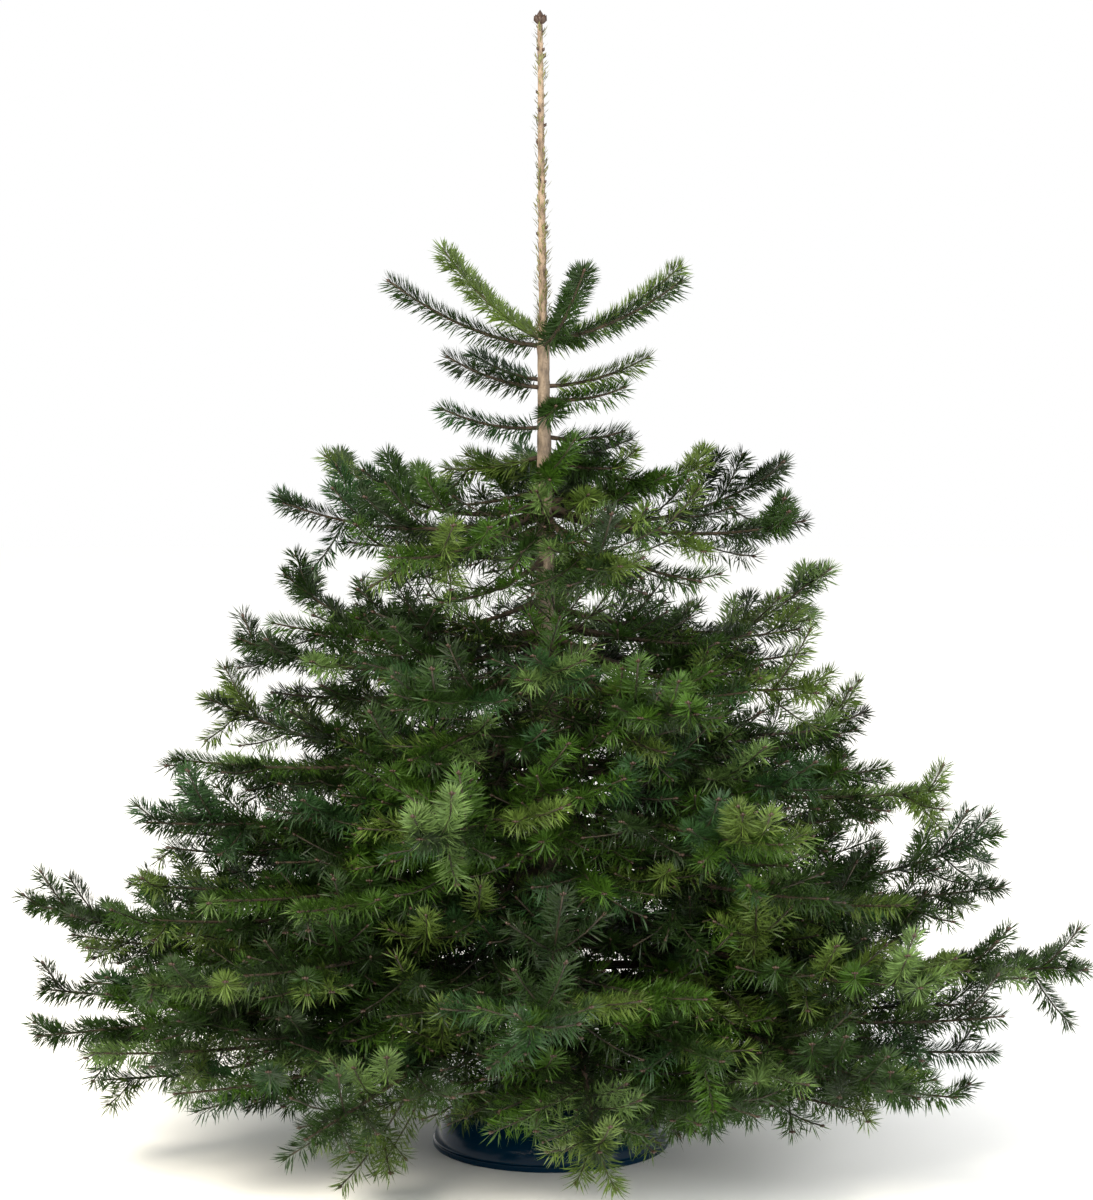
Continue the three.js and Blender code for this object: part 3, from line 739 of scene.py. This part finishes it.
def instancing_tree(name):
    """Geometry Nodes that put one shape on every point, turned by its aim and face and scaled by its size."""
    tree = bpy.data.node_groups.new(name, "GeometryNodeTree")
    tree.interface.new_socket("Geometry", in_out="INPUT", socket_type="NodeSocketGeometry")
    tree.interface.new_socket("Shape", in_out="INPUT", socket_type="NodeSocketObject")
    tree.interface.new_socket("Material", in_out="INPUT", socket_type="NodeSocketMaterial")
    tree.interface.new_socket("Geometry", in_out="OUTPUT", socket_type="NodeSocketGeometry")
    given = add(tree, "NodeGroupInput")
    shape = add(tree, "GeometryNodeObjectInfo", {"Object": given.outputs["Shape"]})
    aim = add(tree, "GeometryNodeInputNamedAttribute", {"Name": "aim"}, data_type="FLOAT_VECTOR")
    face = add(tree, "GeometryNodeInputNamedAttribute", {"Name": "face"}, data_type="FLOAT_VECTOR")
    size = add(tree, "GeometryNodeInputNamedAttribute", {"Name": "size"}, data_type="FLOAT")
    turned = add(tree, "FunctionNodeAxesToRotation", {
        "Primary Axis": aim.outputs["Attribute"], "Secondary Axis": face.outputs["Attribute"]},
        primary_axis="X", secondary_axis="Z")
    placed = add(tree, "GeometryNodeInstanceOnPoints", {
        "Points": given.outputs["Geometry"], "Instance": shape.outputs["Geometry"],
        "Rotation": turned.outputs["Rotation"], "Scale": size.outputs["Attribute"]})
    real = add(tree, "GeometryNodeRealizeInstances", {"Geometry": placed.outputs["Instances"]})
    painted = add(tree, "GeometryNodeSetMaterial", {
        "Geometry": real.outputs["Geometry"], "Material": given.outputs["Material"]})
    add(tree, "NodeGroupOutput", {"Geometry": painted.outputs["Geometry"]})
    return tree


def set_on_points(name, tree, shape, material, root, aim, face, size):
    """A joined mesh with the shape on every root."""
    points = bpy.data.meshes.new(name + "_points")
    points.vertices.add(len(root))
    points.vertices.foreach_set("co", np.asarray(root, np.float32).ravel())
    for key, kind, field, values in (("aim", "FLOAT_VECTOR", "vector", aim),
                                     ("face", "FLOAT_VECTOR", "vector", face),
                                     ("size", "FLOAT", "value", size)):
        attribute = points.attributes.new(key, kind, "POINT")
        attribute.data.foreach_set(field, np.asarray(values, np.float32).ravel())
    carrier = bpy.data.objects.new(name + "_carrier", points)
    bpy.context.scene.collection.objects.link(carrier)
    modifier = carrier.modifiers.new("grow", "NODES")
    modifier.node_group = tree
    keys = {item.name: item.identifier for item in tree.interface.items_tree if item.in_out == "INPUT"}
    modifier[keys["Shape"]] = shape
    modifier[keys["Material"]] = material
    bpy.context.view_layer.update()
    grown = carrier.evaluated_get(bpy.context.evaluated_depsgraph_get())
    mesh = bpy.data.meshes.new_from_object(grown)
    mesh.name = name
    bpy.data.objects.remove(carrier)
    for key in ("aim", "face", "size"):
        if key in mesh.attributes:
            mesh.attributes.remove(mesh.attributes[key])
    if not mesh.materials:
        mesh.materials.append(material)
    piece = bpy.data.objects.new(name, mesh)
    bpy.context.scene.collection.objects.link(piece)
    return piece


def needle_material(name, hex_colour, roughness):
    """Conifer needle: a waxy cuticle over deep green, which gives a soft sheen, a little
    lighter in patches."""
    material, tree = new_material(name)
    place = add(tree, "ShaderNodeTexCoord").outputs["Object"]
    patches, each = noise(tree, place, 45, 2), noise(tree, place, 7, 2)
    varied = add(tree, "ShaderNodeMath", {0: patches, 1: each}, operation="ADD").outputs[0]
    lightness = spread(tree, varied, 0.7, 1.3, 0.62, 1.45)
    tone = add(tree, "ShaderNodeHueSaturation", {
        "Color": linear(hex_colour), "Value": lightness}).outputs["Color"]
    finish_surface(tree, Base_Color=tone, Roughness=roughness, IOR=1.4)
    return material


needle_rng = np.random.default_rng(77)
spray_colour = needle_rng.choice(len(FOLIAGE), spray_count, p=[row[3] for row in FOLIAGE])
evenly = np.linspace(0, 1, 20, endpoint=False)
wanted = sum(shoot.length * wood_at(shoot, evenly)[2].mean() for shoot in shoots)
gathered = [[] for _ in FOLIAGE]
for shoot in shoots:
    *columns, age = brush(shoot, NEEDLES / wanted, needle_rng)
    # Needles on wood more than a year old take the first, darkest colour, partly as painted shade of the
    # crown's inside.
    colour = np.where(age > 1, 0, spray_colour[shoot.spray])
    for k in range(len(FOLIAGE)):
        if (colour == k).any():
            gathered[k].append([column[colour == k] for column in columns])

needle = needle_shape("needle_shape", NEEDLE_WIDTH)
old_needle = needle_shape("old_needle_shape", OLD_NEEDLE_WIDTH)
grow_tree = instancing_tree("shapes_on_points")
for k, (name, hex_colour, roughness, _) in enumerate(FOLIAGE):
    columns = [np.concatenate(column) for column in zip(*gathered[k])]
    pieces = math.ceil(len(columns[0]) / NEEDLES_A_PIECE)
    material = needle_material(name, hex_colour, roughness)
    for part in range(pieces):
        piece_name = name + ("_%d" % (part + 1) if pieces > 1 else "")
        piece = set_on_points(piece_name, grow_tree, needle if k else old_needle, material,
                              *(column[part::pieces] for column in columns))
        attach(piece, "root")
        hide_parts(*mass_nodes)
bpy.data.objects.remove(needle)
bpy.data.objects.remove(old_needle)


# ======================================================================================= buds
# Resting buds for next spring: blunt brown scaly knobs. One stands at each shoot's tip, with a smaller one on
# each side of it where the tip is out in the light.

BUD_LENGTH = 0.0062
BUD_LENGTHS = (0.85, 1.15)      # of that
SIDE_BUD, SIDE_BUD_GAP, SIDE_BUD_SPLAY = 0.72, 0.0015, 0.75
LIGHT_FROM = 0.6                # of the crown's radius
BUD_RINGS = ((-0.1, 0.2), (0.45, 0.36))
bud_points = [(x, r * math.cos(k * math.pi / 2), r * math.sin(k * math.pi / 2))
              for x, r in BUD_RINGS for k in range(4)] + [(1, 0, 0)]
bud_faces = [face for k in range(4) for face in
             ((k, (k + 1) % 4, 4 + (k + 1) % 4, 4 + k), (4 + k, 4 + (k + 1) % 4, 8))]

# Bud scales: dry, brown and lightly varnished with resin.
bud_scale, tree = new_material("brown_bud_scales")
place = add(tree, "ShaderNodeTexCoord").outputs["Object"]
tone = ramp(tree, noise(tree, place, 2.5, 2), (0, "281a12"), (1, "463122"))
finish_surface(tree, Base_Color=tone, Roughness=0.5)

bud_rng = np.random.default_rng(91)
root, aim, face, size = [], [], [], []
for shoot in shoots:
    along, side, over = (table[-1] for table in frames(shoot.points))
    tip = shoot.points[-1]
    crown = np.interp(tip[2], CROWN_HEIGHTS, CROWN_RADII)
    outer = math.hypot(tip[0], tip[1]) > LIGHT_FROM * crown
    for way, scale in ((0, 1.0), (-1, SIDE_BUD), (1, SIDE_BUD)) if outer else ((0, 1.0),):
        root.append(tip + SIDE_BUD_GAP * way * side)
        aim.append(unit(along + SIDE_BUD_SPLAY * way * side))
        face.append(over)
        size.append(BUD_LENGTH * scale * bud_rng.uniform(*BUD_LENGTHS))
bud = shape_object("bud_shape", bud_points, bud_faces, smooth=True)
buds = set_on_points("buds", grow_tree, bud, bud_scale, root, aim, face, size)
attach(buds, "root")
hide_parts(*mass_nodes)


# ======================================================================================= leader
# The year's new top: a straight wand with short needles pressed to it, more of them near its foot, small side
# buds set round it, and a crowded knot of large buds on its end.

LEADER_NEEDLES = 620
LEADER_NEEDLE_LENGTHS = (0.007, 0.016)
LEADER_SPLAYS = (0.35, 1.5)
LEADER_CROWDING = 1.7
LEADER_BUDS = 16
LEADER_BUD_LENGTHS = (0.005, 0.008)
CROWN_BUDS = 8
CROWN_BUD_LENGTHS = (0.0095, 0.0125)
CROWN_BUD_RING = 0.0032
END_BUD_LENGTH = 0.0165
leader_rng = np.random.default_rng(101)


def leader_sites(count, low, high, crowding=1.0):
    """Feet on the leader's bark, with the way out and the way up from each. Crowding over 1
    sets more of them low down."""
    z = low + (high - low) * leader_rng.random(count) ** crowding
    turn = leader_rng.uniform(0, 2 * math.pi, count)
    out = np.stack([np.cos(turn), np.sin(turn), np.zeros(count)], 1)
    foot = np.array([trunk_centre(h) for h in z]) + out * trunk_radius(z)[:, None]
    return foot, out, np.tile(UP, (count, 1))


foot, out, rise = leader_sites(LEADER_NEEDLES, LEADER_FOOT + 0.004, TREE_TOP - 0.02, LEADER_CROWDING)
aim = out * leader_rng.uniform(*LEADER_SPLAYS, (LEADER_NEEDLES, 1)) + rise
needle = needle_shape("needle_shape", OLD_NEEDLE_WIDTH)
leader_green = needle_material("pale_leader_needles", "6c6a44", 0.5)
leader_needles = set_on_points("leader_needles", grow_tree, needle, leader_green, foot, aim, rise - 0.5 * out,
                               leader_rng.uniform(*LEADER_NEEDLE_LENGTHS, LEADER_NEEDLES))
bpy.data.objects.remove(needle)
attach(leader_needles, "root")

foot, out, rise = leader_sites(LEADER_BUDS, LEADER_FOOT + 0.04, TREE_TOP - 0.05)
aim = 0.8 * out + rise
top = trunk_centre(TREE_TOP - 0.017)
turn = 2 * np.pi * np.arange(CROWN_BUDS) / CROWN_BUDS
ring_out = np.stack([np.cos(turn), np.sin(turn), np.zeros(CROWN_BUDS)], 1)
foot = np.vstack([foot, top + ring_out * CROWN_BUD_RING, [top]])
aim = np.vstack([aim, ring_out * 0.55 + UP, [UP]])
face = np.tile([0.0, -1.0, 0.3], (len(foot), 1))
size = np.concatenate([leader_rng.uniform(*LEADER_BUD_LENGTHS, LEADER_BUDS),
                       leader_rng.uniform(*CROWN_BUD_LENGTHS, CROWN_BUDS), [END_BUD_LENGTH]])
leader_buds = set_on_points("leader_buds", grow_tree, bud, bud_scale, foot, aim, face, size)
bpy.data.objects.remove(bud)
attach(leader_buds, "root")


# ======================================================================================= stand
# A low round stand moulded in dark blue plastic: a rounded hollow body on a narrow lip, which holds the
# water, and a collar with three screws that clamp the trunk.

STAND_RADIUS = 0.158
STAND_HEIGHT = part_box("stand")[1].z
STAND_LIP = 0.008
STAND_SHOULDER = 0.082
SHOULDER_POWER = 1.2
SHOULDER_INSET = 0.002
COLLAR_RADIUS = 0.046
COLLAR_BORE = 0.032
STAND_FLOOR = 0.009
STAND_CENTRE = 0.0008           # the profile stops this short of the axis
STAND_SIDES = 128


def lathe(profile, sides):
    """Vertices and quads of a closed profile of (radius, height) turned about Z."""
    profile = np.array(profile)
    turn = 2 * np.pi * np.arange(sides) / sides
    vertices = np.stack([
        profile[:, 0][:, None] * np.cos(turn), profile[:, 0][:, None] * np.sin(turn),
        np.tile(profile[:, 1][:, None], (1, sides))], 2).reshape(-1, 3)
    here = np.arange(len(profile) * sides).reshape(-1, sides)
    after, above = np.roll(here, -1, 1), np.roll(here, -1, 0)
    return vertices, np.stack([here, after, np.roll(above, -1, 1), above], 2).reshape(-1, 4)


def rounded(before, corner, after, radius):
    """Points of a small round at a corner of a profile."""
    before, corner, after = (np.array(p, float) for p in (before, corner, after))
    start, end = corner + unit(before - corner) * radius, corner + unit(after - corner) * radius
    t = np.linspace(0, 1, 5)[:, None]
    return ((1 - t) ** 2 * start + 2 * t * (1 - t) * corner + t ** 2 * end).tolist()


profile = [(STAND_CENTRE, 0.0)]
profile += rounded((0, 0), (STAND_RADIUS, 0), (STAND_RADIUS, STAND_LIP), 0.002)
profile += rounded((STAND_RADIUS, 0), (STAND_RADIUS, STAND_LIP), (0, STAND_LIP), 0.0012)
profile += [(COLLAR_RADIUS + (STAND_RADIUS - SHOULDER_INSET - COLLAR_RADIUS) * math.cos(turn),
             STAND_LIP + (STAND_SHOULDER - STAND_LIP) * math.sin(turn) ** SHOULDER_POWER)
            for turn in np.linspace(0, math.pi / 2, 26)]
profile += rounded((COLLAR_RADIUS, 0), (COLLAR_RADIUS, STAND_HEIGHT), (0, STAND_HEIGHT), 0.003)
profile += rounded((COLLAR_RADIUS, STAND_HEIGHT), (COLLAR_BORE, STAND_HEIGHT), (COLLAR_BORE, 0), 0.002)
profile += [(COLLAR_BORE, STAND_FLOOR), (STAND_CENTRE, STAND_FLOOR)]
vertices, quads = lathe(profile, STAND_SIDES)

# Moulded polypropylene, glossy from the polished mould: near black blue with a sharp highlight.
blue_plastic, tree = new_material("glossy_blue_polypropylene")
place = add(tree, "ShaderNodeTexCoord").outputs["Object"]
gloss = spread(tree, noise(tree, place, 60, 3), 0.35, 0.7, 0.13, 0.24)
ripple = bumps(tree, noise(tree, place, 30, 1), 0.12, 0.002)
finish_surface(tree, Base_Color=linear("022033"), Roughness=gloss, IOR=1.49, Specular_IOR_Level=0.13,
               Normal=ripple)

stand = new_piece("stand_body", vertices, [quads], blue_plastic, smooth=True)
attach(stand, "root")
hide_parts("stand")


# ======================================================================================= clamping screws
# Three zinc-plated steel screws that run in through the collar and grip the trunk. Each is rolled from 10 mm
# bar with a round head, and a loose bar through the head turns it.

SCREW_TURNS = (-90, 30, 150)
SCREW_HEIGHT = 0.088
SCREW_RADIUS = 0.005
SCREW_POINT = 0.0032            # the radius of its blunt end
SCREW_GAP = 0.0004              # from that end to the bark
SCREW_PITCH = 0.0018
THREAD_DEPTH = 0.0006
HEAD_RADIUS = 0.008
HEAD_LENGTH = 0.010
HEAD_CENTRE = 0.088             # from the trunk's axis
BAR_RADIUS = 0.003
BAR_LENGTH = 0.044
BAR_KNOB = 0.0042
SCREW_SIDES, BAR_SIDES = 24, 16


def turned_rod(profile, sides):
    """Vertices, quads and caps of a rod along +X from its (place, radius) profile."""
    places, radii = np.array(profile).T
    count = len(places)
    centres = np.stack([places, np.zeros(count), np.zeros(count)], 1)
    return tube(centres, np.tile([0, 1.0, 0], (count, 1)), np.tile([0, 0, 1.0], (count, 1)),
                np.tile(radii[:, None], (1, sides)))


def placed_rod(parts, rod, turn, place):
    """Adds a rod to the parts, turned about Z and set down at a place."""
    vertices, quads, caps = rod
    spin = np.array([[math.cos(turn), -math.sin(turn), 0], [math.sin(turn), math.cos(turn), 0], [0, 0, 1]])
    count = sum(len(block) for block in parts[0])
    parts[0].append(vertices @ spin.T + place)
    parts[1].append(quads + count)
    parts[2].append(caps + count)


grip = float(trunk_radius(SCREW_HEIGHT)) + SCREW_GAP
head_foot, head_end = HEAD_CENTRE - HEAD_LENGTH / 2, HEAD_CENTRE + HEAD_LENGTH / 2
shank = [(grip, SCREW_POINT), (grip + 0.0015, SCREW_RADIUS - THREAD_DEPTH)]
crest = grip + 0.002
while crest + SCREW_PITCH < head_foot:
    shank += [(crest + SCREW_PITCH / 2, SCREW_RADIUS), (crest + SCREW_PITCH, SCREW_RADIUS - THREAD_DEPTH)]
    crest += SCREW_PITCH
head = [(head_foot, HEAD_RADIUS - 0.001), (head_foot + 0.001, HEAD_RADIUS), (head_end - 0.0015, HEAD_RADIUS),
        (head_end, HEAD_RADIUS - 0.002)]
half = BAR_LENGTH / 2
knob = [(0, BAR_KNOB - 0.001), (0.001, BAR_KNOB), (0.004, BAR_KNOB), (0.0045, BAR_RADIUS)]
bar = [(x - half, r) for x, r in knob] + [(half - x, r) for x, r in reversed(knob)]
parts = ([], [], [])
for turn in np.radians(SCREW_TURNS):
    placed_rod(parts, turned_rod(shank + head, SCREW_SIDES), turn, (0, 0, SCREW_HEIGHT))
    head_place = (HEAD_CENTRE * math.cos(turn), HEAD_CENTRE * math.sin(turn), SCREW_HEIGHT)
    placed_rod(parts, turned_rod(bar, BAR_SIDES), turn + math.pi / 2, head_place)

# Bright zinc plating: pale metal, finely brushed by the rolling, dulled in patches.
zinc, tree = new_material("zinc_plated_steel")
place = add(tree, "ShaderNodeTexCoord").outputs["Object"]
dulled = noise(tree, place, 8, 4)
wear = spread(tree, dulled, 0.35, 0.7, 0.28, 0.5)
tone = ramp(tree, dulled, (0, "9a9c9e"), (1, "c8cacb"))
finish_surface(tree, Base_Color=tone, Metallic=1.0, Roughness=wear)

vertices, quads, caps = (np.vstack(blocks) for blocks in parts)
screws = new_piece("clamping_screws", vertices, [quads, caps], zinc, smooth=True)
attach(screws, "root")
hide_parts("stand")

low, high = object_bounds()
